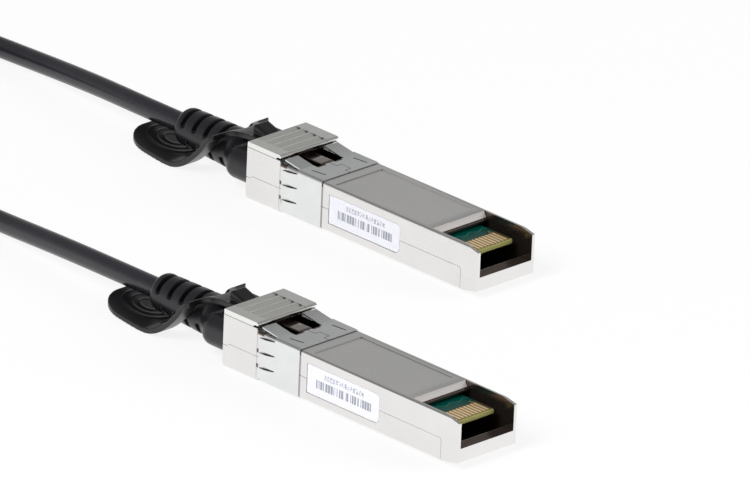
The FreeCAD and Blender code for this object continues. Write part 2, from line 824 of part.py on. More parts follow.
def pull_tab():
    """Pull tab: a thick neck over the slider, a lug, two legs round the boot and a grip paddle."""
    strap = strap_form().common(tab_outline())
    lug_top = head_top + tab_lug_rise
    strap_low = neck_high - tab_strap_drop - tab_strap / 2
    neck_front = -head_rear - slider_tail_length - tab_neck_cap
    neck = side_profile([(-head_rear, neck_low), (-head_rear, neck_high), (-lug_start, neck_high),
                         (-lug_start, strap_low), (neck_front, strap_low), (neck_front, neck_low)],
                        (-tab_neck_end_half, tab_neck_end_half))
    lug_front = -head_rear - tab_lug_inset
    lug_brow = -lug_start - tab_lug_ramp
    lug = side_profile([(lug_front, strap_low), (lug_front, neck_high),
                        (-lug_start + tab_lug_ramp, head_top + tab_lug_soft),
                        (lug_brow, lug_top - tab_lug_soft / 2), (lug_brow - tab_lug_inset, lug_top),
                        (-lug_end + tab_lug_inset, lug_top - tab_lug_soft),
                        (-lug_end + tab_lug_soft / 2, lug_top - 3 * tab_lug_soft), (-lug_end, strap_low)],
                       (-tab_lug_half, tab_lug_half))
    plan = plan_profile([(-head_rear, -tab_neck_half), (-head_rear, tab_neck_half),
                         (-lug_start, tab_neck_end_half), (-lug_end, tab_neck_end_half),
                         (-lug_end, -tab_neck_end_half), (-lug_start, -tab_neck_end_half)], (0, head_top + 2))
    body = joined([strap, neck.common(plan), lug])
    return body.cut(slider())


# Board and wires

def board():
    """Paddle board with bevelled front edge."""
    front = -board_setback
    rear = front - board_length
    half = board_width / 2
    shape = [(rear, board_bottom), (front - board_bevel, board_bottom), (front, board_bottom + board_bevel),
             (front, board_top - board_bevel), (front - board_bevel, board_top), (rear, board_top)]
    return side_profile(shape, (-half, half))


def contacts():
    """Gold edge contacts on both faces of the board."""
    front = -board_setback - contact_inset
    pads = []
    for index in range(contact_count):
        middle = (index - (contact_count - 1) / 2) * contact_pitch
        across = (middle - contact_width / 2, middle + contact_width / 2)
        for low in (board_top, board_bottom - contact_thickness):
            pads.append(block((front - contact_length, front), across, (low, low + contact_thickness)))
    return Part.makeCompound(pads)


def chip():
    """Identity memory on the board."""
    half = chip_size / 2
    front = -rail_front - chip_gap
    return block((front - chip_size, front), (-half, half), (board_top, board_top + chip_height))


def capacitors():
    """Row of coupling capacitors on the board."""
    front = -rail_front - capacitor_gap
    half = capacitor_width / 2
    solids = []
    for index in range(capacitor_count):
        middle = (index - (capacitor_count - 1) / 2) * capacitor_pitch
        solids.append(block((front - capacitor_length, front), (middle - half, middle + half),
                            (board_top, board_top + capacitor_width)))
    return Part.makeCompound(solids)


def wires():
    """Four wires of the two pairs, from the board's faces to the end of the cable."""
    radius = wire_diameter / 2
    solids = []
    for side in (-1, 1):
        for face in (-1, 1):
            surface = board_top if face > 0 else board_bottom
            height = surface + face * radius * math.cos(math.pi / wire_sides)
            gathered = cable_height + face * wire_gather
            landing = V(-board_end + wire_landing, side * wire_spread, height)
            off_board = V(-board_end - wire_lead, side * wire_spread, height)
            near_cable = V(-cable_stop + wire_tail, side * wire_gather, gathered)
            end = V(-cable_stop, side * wire_gather, gathered)
            solids.append(bar_along([landing, off_board, near_cable, end], radius, wire_sides))
    return Part.makeCompound(solids)


def cable_lead():
    """Stretch of the cable that the plug holds, up to the mouth of the boot."""
    return rod(cable_radius, V(-boot_end, 0, cable_height), V(-cable_stop, 0, cable_height))


def ferrule():
    """Hexagonal crimped sleeve on the cable's shield."""
    sleeve = hexagon_bar(cable_radius + ferrule_wall, cable_stop, cable_stop + ferrule_length)
    return sleeve.cut(cable_lead())


def label():
    """Blank label in the pocket of the left side."""
    face = -half_width + label_pocket
    margin = label_margin
    return rounded_block((-label_rear + margin, -label_front - margin), (face - label_thickness, face),
                         (label_bottom + margin, label_top - margin), label_round - margin, V(0, 1, 0),
                         lambda centre: centre.x > -label_rear + 1)


def plug_pieces():
    """All pieces of one plug, by name, in the plug's own frame."""
    upper, lower = casing_halves()
    return {
        "base_shell": upper,
        "cover_shell": lower,
        "emi_collar": collar(),
        "latch_cover": cover_plate(),
        "latch_rocker": rocker(),
        "rocker_pin": rocker_pin(),
        "pull_slider": slider(),
        "return_spring": spring(),
        "pull_tab": pull_tab(),
        "strain_relief": boot(),
        "cable_lead": cable_lead(),
        "shield_ferrule": ferrule(),
        "wire_pairs": wires(),
        "circuit_board": board(),
        "gold_contacts": contacts(),
        "memory_chip": chip(),
        "capacitors": capacitors(),
        "side_label": label(),
    }


# Cord between the plugs

def plug_origins():
    """Places of the two plugs, with the pair centred on the model's origin."""
    shift_x, shift_y = plug_spacing
    first = V((tab_reach - shift_x) / 2, -shift_y / 2, head_drop)
    return first, first + V(shift_x, shift_y, 0)


def coil_middle():
    """Centre of the coil on the floor."""
    first, second = plug_origins()
    return V(first.x + coil_centre[0], first.y + coil_centre[1], 0)


def run_points(letter):
    """Hand-set route of the cable from one plug's boot to the side of the coil."""
    first, second = plug_origins()
    wrap = coil_outer - cable_radius
    entry = math.sqrt(coil_outer ** 2 - (coil_outer - cable_diameter) ** 2)
    middle = coil_middle()
    exit_end = (-boot_end, 0, cable_height)
    straight = (-boot_end - cable_straight, 0, cable_height)
    if letter == "a":
        places = [exit_end, straight, (-103.0, 1.7, 3.3), (-125.0, 3.9, 1.35)]
        origin = first
        side = 1
    else:
        places = [exit_end, straight, (-104.0, 1.3, 3.3), (-130.0, 3.8, 1.15), (-171.0, 5.2, 1.2)]
        origin = second
        side = -1
    points = [origin + V(*place) for place in places]
    points.append(V(middle.x + entry, middle.y + side * wrap, tie_sheet + cable_radius))
    return points


def coil():
    """Outer form of the coiled cable, raised on its tie."""
    height = coil_layers * cable_diameter
    foot = coil_middle() + V(0, 0, tie_sheet)
    return Part.makeCylinder(coil_outer, height, foot).cut(Part.makeCylinder(coil_inner, height, foot))


def coil_tie():
    """Flat tie round the coil's section."""
    height = coil_layers * cable_diameter
    middle = coil_middle()
    outer_x = middle.x - coil_outer
    inner_x = middle.x - math.sqrt(coil_inner ** 2 - (tie_width / 2) ** 2) + tie_slack
    across = (middle.y - tie_width / 2, middle.y + tie_width / 2)
    outer = block((outer_x - tie_sheet, inner_x + tie_sheet), across, (0, height + 2 * tie_sheet))
    beyond = (across[0] - 1, across[1] + 1)
    return outer.cut(block((outer_x, inner_x), beyond, (tie_sheet, tie_sheet + height)))


def main():
    os.makedirs("parts", exist_ok=True)
    pieces = plug_pieces()
    nodes = {}
    for letter, origin in zip("ab", plug_origins()):
        for name, shape in pieces.items():
            placed = shape.copy()
            placed.translate(origin)
            nodes[name + "_" + letter] = placed
    ring = coil()
    for letter in "ab":
        solid, length, radii = tube(run_points(letter), cable_radius)
        section = math.pi * cable_radius ** 2
        print("cable run", letter, "length", round(length, 2), "volume ratio",
              round(solid.Volume / (section * length), 4), "radii", [round(radius, 1) for radius in radii])
        nodes["cable_run_" + letter] = solid
    nodes["cable_coil"] = ring
    nodes["coil_tie"] = coil_tie()
    for name, shape in nodes.items():
        print(name, "solids", len(shape.Solids), "valid", shape.isValid(), "volume", round(shape.Volume, 3))
        shape.exportStep("parts/" + name + ".step")


main()
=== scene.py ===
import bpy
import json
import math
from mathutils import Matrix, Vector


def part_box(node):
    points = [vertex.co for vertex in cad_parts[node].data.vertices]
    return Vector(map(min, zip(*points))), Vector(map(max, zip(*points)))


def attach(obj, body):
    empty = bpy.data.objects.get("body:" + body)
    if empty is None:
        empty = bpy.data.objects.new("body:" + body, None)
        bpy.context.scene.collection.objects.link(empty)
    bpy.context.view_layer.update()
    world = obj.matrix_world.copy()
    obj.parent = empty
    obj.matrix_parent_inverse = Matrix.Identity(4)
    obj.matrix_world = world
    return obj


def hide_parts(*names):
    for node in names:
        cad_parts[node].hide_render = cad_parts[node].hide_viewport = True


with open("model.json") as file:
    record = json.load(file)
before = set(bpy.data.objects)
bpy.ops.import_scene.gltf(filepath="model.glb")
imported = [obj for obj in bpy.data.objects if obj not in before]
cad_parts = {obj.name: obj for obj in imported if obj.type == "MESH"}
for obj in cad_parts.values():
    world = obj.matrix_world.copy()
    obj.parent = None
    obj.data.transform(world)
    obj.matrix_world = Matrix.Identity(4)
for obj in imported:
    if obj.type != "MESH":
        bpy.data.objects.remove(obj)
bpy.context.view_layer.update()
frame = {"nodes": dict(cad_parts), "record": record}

# %% [markdown]
# A direct attach copper cable: two metal plugs that slide into a switch, joined by one thin
# black twinax cable. The solid model already holds every piece at its true size, so this lesson
# adds what the eye reads as real: moulded rubber, plating, print, the cable's coil and light.
# Blender works in metres, and plugs are small, so sizes below are written in millimetres and
# multiplied by MM.

MM = 0.001
head_drop = 0.7
cable_radius = 1.8
cable_height = 4.14


def plug_origin(letter):
    """Point under the nose of one plug, from which all its places are measured."""
    low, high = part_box("base_shell_" + letter)
    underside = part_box("cover_shell_" + letter)[0].z
    return Vector((high.x, (low.y + high.y) / 2, underside + head_drop * MM))


origins = {letter: plug_origin(letter) for letter in "ab"}
for letter, origin in origins.items():
    print("plug", letter, "at", [round(value / MM, 2) for value in origin])

# %% [markdown]
# The camera comes first, because everything else is judged through it. The photograph was taken
# with a long lens from the front left, about 23 degrees above the table, and the picture is
# turned by a hair, so the camera gets the same azimuth, elevation and roll. The far distance
# keeps the plugs' edges nearly parallel, as they are in the photograph. The aim says, in pixels
# of a picture 750 wide, how far right of its middle and below it the first plug's origin shows.

# %% Camera
azimuth = math.radians(44.877)
elevation = math.radians(22.847)
roll = math.radians(2.502)
distance = 3.50922
picture_width = 750
lens = 1000
sensor = 36
pixels_per_radian = lens / sensor * picture_width
aim_right = 129.65
aim_down = 36.58
sight_limit = 50

back = Vector((math.sin(azimuth) * math.cos(elevation), -math.cos(azimuth) * math.cos(elevation),
               math.sin(elevation)))
level_right = (-back).cross(Vector((0, 0, 1))).normalized()
level_up = level_right.cross(-back)
right = math.cos(roll) * level_right + math.sin(roll) * level_up
up = -math.sin(roll) * level_right + math.cos(roll) * level_up
place = origins["a"] + back * distance
place -= right * (aim_right * distance / pixels_per_radian)
place += up * (aim_down * distance / pixels_per_radian)

bpy.ops.object.select_all(action="DESELECT")
bpy.ops.object.camera_add()
camera = bpy.context.object
camera.data.lens = lens
camera.data.sensor_width = sensor
camera.data.clip_end = sight_limit
camera.matrix_world = Matrix.Translation(place) @ Matrix((right, up, back)).transposed().to_4x4()
bpy.context.scene.camera = camera
print("camera", [round(value, 3) for value in camera.location])

# %% [markdown]
# A shader is easier to read as arithmetic than as a web of wires. The small class below wraps a
# socket that varies over the surface: adding or multiplying it adds a Math node, and a product
# of comparisons is a mask that is 1 inside a region and 0 outside it.

# %% Signals
class Signal:
    """A number that varies over a surface, written in ordinary arithmetic."""

    def __init__(self, finish, socket):
        self.finish = finish
        self.socket = socket

    def maths(self, operation, *values):
        return self.finish.node("Math", {"operation": operation}, dict(enumerate(values)))

    def __add__(self, other):
        return self.maths("ADD", self, other)

    def __sub__(self, other):
        return self.maths("SUBTRACT", self, other)

    def __mul__(self, other):
        return self.maths("MULTIPLY", self, other)

    def __truediv__(self, other):
        return self.maths("DIVIDE", self, other)

    def __gt__(self, other):
        return self.maths("GREATER_THAN", self, other)

    def __lt__(self, other):
        return self.maths("LESS_THAN", self, other)

    def __rsub__(self, other):
        return self.maths("SUBTRACT", other, self)

    def __abs__(self):
        return self.maths("ABSOLUTE", self)

    def between(self, low, high):
        return (self > low) * (self < high)

    def from_nearest(self, spacing):
        """Distance to the nearest of many places, each two spacings from the next."""
        return self.maths("PINGPONG", self, spacing)

    def step(self):
        """Whole number below, the same all over one cell of a pattern."""
        return self.maths("FLOOR", self)

    __radd__ = __add__
    __rmul__ = __mul__


# %% [markdown]
# A finish starts from the Principled shader, whose plain numbers are set on its own sockets, and
# adds what changes over the surface: colour, roughness and a little relief. Patterns are read
# from Object coordinates, which are places in the plug here, so they stay put in every view.

# %% Finishes
class Finish:
    """One material, built on the Principled shader."""

    def __init__(self, name, **constants):
        self.material = bpy.data.materials.new(name)
        self.material.use_nodes = True
        self.tree = self.material.node_tree
        self.shader = self.tree.nodes["Principled BSDF"]
        for socket, value in constants.items():
            self.shader.inputs[socket.replace("_", " ")].default_value = value

    def join(self, socket, value):
        if isinstance(value, Signal):
            self.tree.links.new(value.socket, socket)
        else:
            socket.default_value = value

    def node(self, kind, settings=None, inputs=None, output=0):
        """Any other node, from its type, its settings and what goes into its sockets."""
        made = self.tree.nodes.new("ShaderNode" + kind)
        for name, value in (settings or {}).items():
            setattr(made, name, value)
        for name, value in (inputs or {}).items():
            self.join(made.inputs[name], value)
        return Signal(self, made.outputs[output])

    def place(self, letter=None):
        """Where a point lies, in millimetres, from the world's origin or from a plug's."""
        whole = self.node("TexCoord", output="Object")
        origin = origins.get(letter, (0, 0, 0))
        moved = self.node("VectorMath", {"operation": "SUBTRACT"}, {0: whole, 1: origin})
        return self.node("VectorMath", {"operation": "SCALE"}, {0: moved, "Scale": 1 / MM})

    def places(self, letter):
        """The same place as three numbers: back to nose, across, and up."""
        split = self.tree.nodes.new("ShaderNodeSeparateXYZ")
        self.join(split.inputs[0], self.place(letter))
        return [Signal(self, socket) for socket in split.outputs]

    def noise(self, size, detail=2.0, stretch=(1, 1, 1)):
        """Soft random pattern with features of about one size in millimetres."""
        scale = tuple(part / size for part in stretch)
        where = self.node("Mapping", inputs={"Vector": self.place(), "Scale": scale})
        return self.node("TexNoise", inputs={"Vector": where, "Scale": 1.0, "Detail": detail})

    def chance(self, cell):
        """Random number from 0 to 1, the same all over one cell."""
        return self.node("TexWhiteNoise", {"noise_dimensions": "1D"}, {"W": cell}, output="Value")

    def mix(self, factor, first, second):
        """Blend of two colours."""
        return self.node("Mix", {"data_type": "RGBA"}, {0: factor, 6: first, 7: second}, output=2)

    def bump(self, height, depth):
        """Surface relief: a height from 0 to 1 and its depth in millimetres."""
        relief = self.node("Bump", inputs={"Height": height, "Strength": 1.0, "Distance": depth * MM})
        self.join(self.shader.inputs["Normal"], relief)

    def give(self, socket, value):
        self.join(self.shader.inputs[socket], value)


def colour(red, green, blue):
    return (red, green, blue, 1.0)


finishes = {}
print("shader helpers ready")

# %% [markdown]
# The plug's halves are cast in zinc and nickel plated. Inside the mouth, inside the latch chamber and
# under the collar the casting is painted darker and browner, as painted shade, and it is smoother there.
# Masks by place tell the painted shade from the plating. The values below say where each mask starts and
# ends, in millimetres from the plug's origin: x runs to the nose, z runs up, and a half is measured from
# the middle line to either side.

# %% Places on the casting
flank_half = 6.3
slope_x = (-11.65, -10.95)
slope_z = (7.45, 8.49)
slope_half = 6.0
sill_x = (-1.75, -1.55)
sill_z = (3.5, 3.7)
mouth_x = (-13.4, -0.04)
mouth_z = (0.5, 8.45)
mouth_half = 6.13
chamber_x = (-56.1, -42.9)
chamber_z = (3, 8.47)
chamber_half = 3.6
fingers_x = (-46.4, -37.9)
wing_x = (-47.95, -46.4)
wing_low = 8.0
covered_roof_x = (-43.0, -37.9)
covered_roof_low = 7.9
collar_edge_x = (-37.9, -37.5)
roof_edge_low = 7.6
cover_line_x = -48.1
cover_line_z = (8.96, 9.06)
opening_x = (-47.98, -47.6)
opening_z = (1.8, 6.0)
opening_first = 2.4
opening_spacing = 1.35
opening_half = 0.35
print("mouth", mouth_x, "chamber", chamber_x, "fingers", fingers_x)

# %% [markdown]
# Plating is a mirror that casting skin and tumbling have dulled, so it is fully metallic with a middling
# roughness and a fine grain. The small slope at the roof's front end is given a matt grey that is not
# metal, a painted reflection that stands in for the light it mirrors. Thin dark lines are painted shadows
# in the gaps along the collar and under the cover, and short ones at the head's front edge.

# %% Plated casting
finger_shade = 0.2
edge_shade = 0.5
roof_edge_shade = 0.4
cover_line_shade = 0.7
opening_shade = 0.9
slope_dullness = 0.9
mouth_dullness = 0.06
plating_roughness = 0.24
inside_gloss = 0.4
plating_grain_share = 0.10
plating_grain_size = 0.35
plating_grain_depth = 0.0015
stain_size = 6.0


def casting_finish(letter):
    casting = Finish("plated_casting_" + letter)
    x, y, z = casting.places(letter)
    across = abs(y)
    end_slope = x.between(*slope_x) * z.between(*slope_z) * (across < slope_half)
    sill_edge = x.between(*sill_x) * z.between(*sill_z)
    mouth = x.between(*mouth_x) * (across < mouth_half) * z.between(*mouth_z)
    mouth = mouth * (1 - end_slope) * (1 - sill_edge)
    chamber = x.between(*chamber_x) * (across < chamber_half) * z.between(*chamber_z)
    under_fingers = x.between(*fingers_x) * (across > flank_half)
    under_wing = x.between(*wing_x) * (across > flank_half) * (z > wing_low)
    under_roof = x.between(*covered_roof_x) * (across < flank_half) * (z > covered_roof_low)
    # Painted shadows: dark lines at the collar's front edge and under the cover, and short dark marks at
    # the head's front edge.
    collar_shadow_line = x.between(*collar_edge_x) * (edge_shade + roof_edge_shade * (z > roof_edge_low))
    cover_shadow_line = (x < cover_line_x) * z.between(*cover_line_z)
    from_opening = (z - opening_first).from_nearest(opening_spacing)
    gap_shadows = x.between(*opening_x) * (from_opening < opening_half)
    gap_shadows = gap_shadows * z.between(*opening_z) * (across > flank_half)
    grain = casting.noise(plating_grain_size, detail=4.0)
    cloud = casting.noise(stain_size)
    bright = casting.mix(cloud, colour(0.81, 0.80, 0.79), colour(0.88, 0.87, 0.86))
    inside = casting.mix(cloud, colour(0.15, 0.12, 0.10), colour(0.22, 0.17, 0.15))
    # Painted shade: the mouth, the latch chamber and the places under the collar get the dark brown inside
    # colour.
    dark = mouth + chamber + finger_shade * under_fingers + under_wing + under_roof
    # Painted reflection: the end slope's matt grey stands in for its bright reflection.
    reflection_grey = casting.mix(end_slope, bright, colour(0.50, 0.475, 0.46))
    shade = casting.mix(dark, reflection_grey, inside)
    lines = collar_shadow_line + cover_line_shade * cover_shadow_line + opening_shade * gap_shadows
    casting.give("Base Color", casting.mix(lines, shade, colour(0.05, 0.045, 0.04)))
    casting.give("Metallic", 1 - slope_dullness * end_slope - mouth_dullness * mouth)
    roughness = plating_roughness + plating_grain_share * grain
    casting.give("Roughness", roughness * (1 - inside_gloss * dark))
    casting.bump(grain, plating_grain_depth)
    return casting


for letter in "ab":
    finishes["plated_casting_" + letter] = casting_finish(letter)
print("finishes", sorted(finishes))

# %% [markdown]
# The collar, the slider and the pins are rolled sheet and wire. Rolling leaves fine lines along the metal,
# so their noise is stretched in one direction, and a slow cloud varies the tint. The collar is bright
# spring sheet. The latch's steel is painted dark brown, as painted shade, because it lies in shade under
# the cover.

# %% Sheet metals
along_plug = (0.15, 3, 3)
across_plug = (3, 0.15, 3)
line_size = 0.5
line_share = 0.10
tint_size = 4.0


def sheet_metal(name, dark, light, roughness, relief):
    """Rolled metal: faint lines along the plug."""
    sheet = Finish(name, Metallic=1.0)
    lines = sheet.noise(line_size, detail=3.0, stretch=along_plug)
    sheet.give("Base Color", sheet.mix(sheet.noise(tint_size), dark, light))
    sheet.give("Roughness", roughness + line_share * lines)
    sheet.bump(lines, relief)
    finishes[name] = sheet
    print("finish", name)


# Painted shade: the latch's steel is painted dark brown for the shade under the cover.
sheet_metal("latch_steel", colour(0.12, 0.09, 0.08), colour(0.20, 0.16, 0.14), 0.22, 0.002)
sheet_metal("spring_steel", colour(0.45, 0.46, 0.48), colour(0.55, 0.56, 0.58), 0.25, 0.002)
sheet_metal("ferrule_brass", colour(0.70, 0.55, 0.30), colour(0.80, 0.65, 0.38), 0.30, 0.002)
sheet_metal("collar_steel", colour(0.79, 0.80, 0.80), colour(0.88, 0.89, 0.89), 0.20, 0.0015)

# %% [markdown]
# The cover over the latch is thicker plate, with a warm satin face. Its grooves are painted a darker grey
# that is no longer a mirror. Each groove ends in a painted dark dot and short darker walls, painted shadow
# at the groove's end.

# %% Ribbed cover
rib_first = -54.9
rib_pitch = 1.93
rib_end = 4.15
rib_wall_half = 0.06
rib_wall_low = 9.75
rib_wall_shade = 0.8
groove_front = -48.3
groove_z = (9.6, 10.01)
groove_margin = 0.1
dot_radius = 0.2
dot_low = 9.5
groove_dullness = 0.8
satin_roughness = 0.26
satin_line_share = 0.12
satin_relief = 0.003


def cover_finish(letter):
    cover = Finish("cover_metal_" + letter)
    x, y, z = cover.places(letter)
    lines = cover.noise(line_size, detail=3.0, stretch=across_plug)
    from_rib = (x - rib_first).from_nearest(rib_pitch / 2)
    from_end = y - rib_end
    # Painted shadows: a dark dot at each groove's end, and darker short walls there as painted shade.
    groove_end_shadows = (from_rib * from_rib + from_end * from_end < dot_radius ** 2) * (z > dot_low)
    rib_walls = (abs(from_end) < rib_wall_half) * (z > rib_wall_low)
    groove = z.between(*groove_z) * (abs(y) < rib_end + groove_margin) * (x < groove_front)
    satin = cover.mix(cover.noise(tint_size), colour(0.88, 0.88, 0.845), colour(0.95, 0.95, 0.92))
    grey_grooves = cover.mix(groove, satin, colour(0.31, 0.31, 0.29))
    wall_shaded = cover.mix(rib_wall_shade * rib_walls, grey_grooves, colour(0.20, 0.20, 0.19))
    cover.give("Base Color", cover.mix(groove_end_shadows, wall_shaded, colour(0.06, 0.06, 0.06)))
    cover.give("Metallic", 1 - groove_dullness * groove)
    cover.give("Roughness", satin_roughness + satin_line_share * lines)
    cover.bump(lines, satin_relief)
    return cover


for letter in "ab":
    finishes["cover_metal_" + letter] = cover_finish(letter)
print("cover dots", dot_radius, "mm")

# %% [markdown]
# The rocker is steel painted dark brown, as painted shade for the dark latch chamber, and only its boss,
# which rides on the cage's tongue, keeps a light steel colour.

# %% Rocker
boss_x = (-46.1, -43.7)
boss_half = 1.25
boss_low = 8.5
shade_cloud_size = 1.2
rocker_roughness = 0.24
rocker_grain_share = 0.1
rocker_grain_size = 0.4


def rocker_finish(letter):
    steel = Finish("latch_steel_" + letter, Metallic=1.0)
    x, y, z = steel.places(letter)
    boss = x.between(*boss_x) * (abs(y) < boss_half) * (z > boss_low)
    # Painted shade: all of the rocker except its boss is painted dark brown.
    shaded_steel = steel.mix(steel.noise(shade_cloud_size), colour(0.12, 0.09, 0.08), colour(0.22, 0.18, 0.16))
    steel.give("Base Color", steel.mix(boss, shaded_steel, colour(0.66, 0.62, 0.59)))
    steel.give("Roughness", rocker_roughness + rocker_grain_share * steel.noise(rocker_grain_size))
    return steel


for letter in "ab":
    finishes["rocker_" + letter] = rocker_finish(letter)
print("rocker boss", boss_x)

# %% [markdown]
# Rubber and cable jacket are near black with a soft shine. A little fine grain breaks the
# highlight. The pull tab is the blackest, and the jacket is a shade greyer and smoother. The
# tie's cloth has a far deeper grain and hardly shines.

# %% Rubbers, jacket and other plain finishes
cloud_ratio = 8
grain_gloss = 0.12


def moulded(name, dark, light, roughness, grain_size, depth, shine=0.5):
    """Moulded plastic or rubber with a fine skin."""
    skin = Finish(name, Specular_IOR_Level=shine)
    grain = skin.noise(grain_size, detail=3.0)
    cloud = skin.noise(cloud_ratio * grain_size)
    skin.give("Base Color", skin.mix(cloud, dark, light))
    skin.give("Roughness", roughness + grain_gloss * grain)
    skin.bump(grain, depth)
    finishes[name] = skin
    print("finish", name)


moulded("tab_rubber", colour(0.005, 0.004, 0.005), colour(0.009, 0.008, 0.009), 0.24, 0.30, 0.0008)
moulded("boot_rubber", colour(0.007, 0.006, 0.008), colour(0.012, 0.011, 0.014), 0.26, 0.25, 0.0012)
moulded("cable_jacket", colour(0.012, 0.011, 0.015), colour(0.020, 0.019, 0.025), 0.22, 0.40, 0.0006,
        shine=0.6)
moulded("tie_black", colour(0.010, 0.010, 0.012), colour(0.020, 0.020, 0.022), 0.75, 0.20, 0.040,
        shine=0.3)
moulded("wire_insulation", colour(0.60, 0.62, 0.66), colour(0.72, 0.74, 0.78), 0.30, 0.50, 0.004)
moulded("chip_black", colour(0.02, 0.02, 0.02), colour(0.03, 0.03, 0.03), 0.45, 0.15, 0.006)
moulded("capacitor_tan", colour(0.30, 0.22, 0.14), colour(0.40, 0.30, 0.20), 0.45, 0.20, 0.004)

# %% [markdown]
# The circuit board is woven glass under green solder mask, with a copper track that shows as a
# lighter wavy line. The mask stops short of the contacts, the gaps between them are dark, and
# the cut front edge shows the bare olive glass. One outer contact runs further back.

# %% Board and contacts
pad_rear = -7.0
pad_front = -3.45
pad_margin = 0.3
outer_pad = 3.6
outer_pad_half = 0.25
outer_pad_reach = 1.1
outer_pad_lap = 0.1
board_face = 6.4
track_setback = 9.3
track_half = 0.13
track_wave = 0.35
track_turns = 2.1
glass_size = 0.4
mask_roughness = 0.30
mask_grain_size = 0.5
gold_cloud_size = 1.5
gold_roughness = 0.34
gold_grain_size = 0.3
sheen_share = 0.1


def board_finish(letter):
    board = Finish("board_green_" + letter, Specular_IOR_Level=0.25)
    x, y, z = board.places(letter)
    wave = board.node("Math", {"operation": "SINE"}, {0: track_turns * y})
    track = abs(x + track_wave * wave + track_setback) < track_half
    mask = board.mix(track, colour(0.0, 0.048, 0.036), colour(0.012, 0.11, 0.09))
    gaps = board.mix(x > pad_rear - pad_margin, mask, colour(0.07, 0.045, 0.02))
    beside = abs(y - outer_pad) < outer_pad_half
    long_pad = x.between(pad_rear - outer_pad_reach, pad_rear + outer_pad_lap) * beside * (z > board_face)
    plated = board.mix(long_pad, gaps, colour(0.85, 0.62, 0.30))
    glass = board.mix(board.noise(glass_size), colour(0.19, 0.185, 0.05), colour(0.27, 0.26, 0.09))
    board.give("Base Color", board.mix(x > pad_front, plated, glass))
    board.give("Metallic", long_pad)
    board.give("Roughness", mask_roughness + sheen_share * board.noise(mask_grain_size))
    return board


for letter in "ab":
    finishes["board_green_" + letter] = board_finish(letter)

gold = Finish("contact_gold", Metallic=0.6)
gold_tint = gold.mix(gold.noise(gold_cloud_size), colour(0.88, 0.64, 0.34), colour(1.0, 0.77, 0.45))
gold.give("Base Color", gold_tint)
gold.give("Roughness", gold_roughness + sheen_share * gold.noise(gold_grain_size))
finishes["contact_gold"] = gold
print("finishes", sorted(finishes))

# %% [markdown]
# The label is a white coated film. Its print here is generic: a band of upright bars of random
# width, and a row of small marks above it that reads as print but says nothing. Each bar and
# mark is one cell of a grid, which a random number from the cell's count inks or leaves white.

# %% Label film
bar_cell = 0.19
bar_rarity = 0.3
bar_gap_spacing = 0.31
bar_gap_half = 0.07
bar_x = (-33.8, -20.4)
bar_z = (3.0, 4.5)
bar_ink = 0.85
mark_cell_x = 0.17
mark_cell_z = 0.2
mark_seed_x = 7.3
mark_seed_z = 31.7
mark_rarity = 0.45
mark_gap_spacing = 0.34
mark_gap_half = 0.08
mark_x = (-31.9, -22.4)
mark_z = (5.0, 5.95)
mark_ink = 0.65
film_roughness = 0.35
film_grain_share = 0.05
film_grain_size = 1.0


def label_finish(letter):
    film = Finish("label_white_" + letter, Coat_Weight=0.2, Coat_Roughness=0.2)
    x, y, z = film.places(letter)
    bar = film.chance((x / bar_cell).step())
    between_gaps = x.from_nearest(bar_gap_spacing) > bar_gap_half
    bars = (bar > bar_rarity) * between_gaps * x.between(*bar_x) * z.between(*bar_z)
    cell_x = (x / mark_cell_x).step()
    cell_z = (z / mark_cell_z).step()
    mark = film.chance(cell_x * mark_seed_x + cell_z * mark_seed_z)
    between_gaps = x.from_nearest(mark_gap_spacing) > mark_gap_half
    marks = (mark > mark_rarity) * between_gaps * x.between(*mark_x) * z.between(*mark_z)
    ink = bar_ink * bars + mark_ink * marks
    film.give("Base Color", film.mix(ink, colour(0.80, 0.80, 0.86), colour(0.20, 0.22, 0.27)))
    film.give("Roughness", film_roughness + film_grain_share * film.noise(film_grain_size))
    return film


for letter in "ab":
    finishes["label_white_" + letter] = label_finish(letter)
print("label print", "bars", bar_x, "marks", mark_x)

# %% [markdown]
# Each CAD piece keeps its shape. Its surface is made of loose triangles, so a copy is merged and
# its flat areas are joined up. Then smooth shading knows which edges are real, and a bevel can
# round the few outer edges that catch a thin line of light.

# %% Helpers that finish a copy of a solid
merge_distance = 0.0005
flat_angle = math.radians(1.0)
edge_angle = math.radians(28)
flat_face_weight = 100
body_of = {}
for body, names in frame["record"]["behaviour"]["bodies"].items():
    for name in names:
        body_of[name] = body
slot_of = {entry["node"]: entry["material_slot"] for entry in frame["record"]["subparts"]}


def choose(piece):
    """Make one object the only selected and the active one."""
    bpy.ops.object.select_all(action="DESELECT")
    piece.select_set(True)
    bpy.context.view_layer.objects.active = piece


def finished(piece, body, slot, *nodes):
    """Piece rides on its body and stands for its nodes. The slot is not used."""
    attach(piece, body)
    if nodes:
        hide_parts(*nodes)


def finish_name(node):
    """Finish of a node: its slot's own, or the one laid out for its plug."""
    name = "rocker" if node.startswith("latch_rocker") else slot_of[node]
    return name if name in finishes else name + node[-2:]


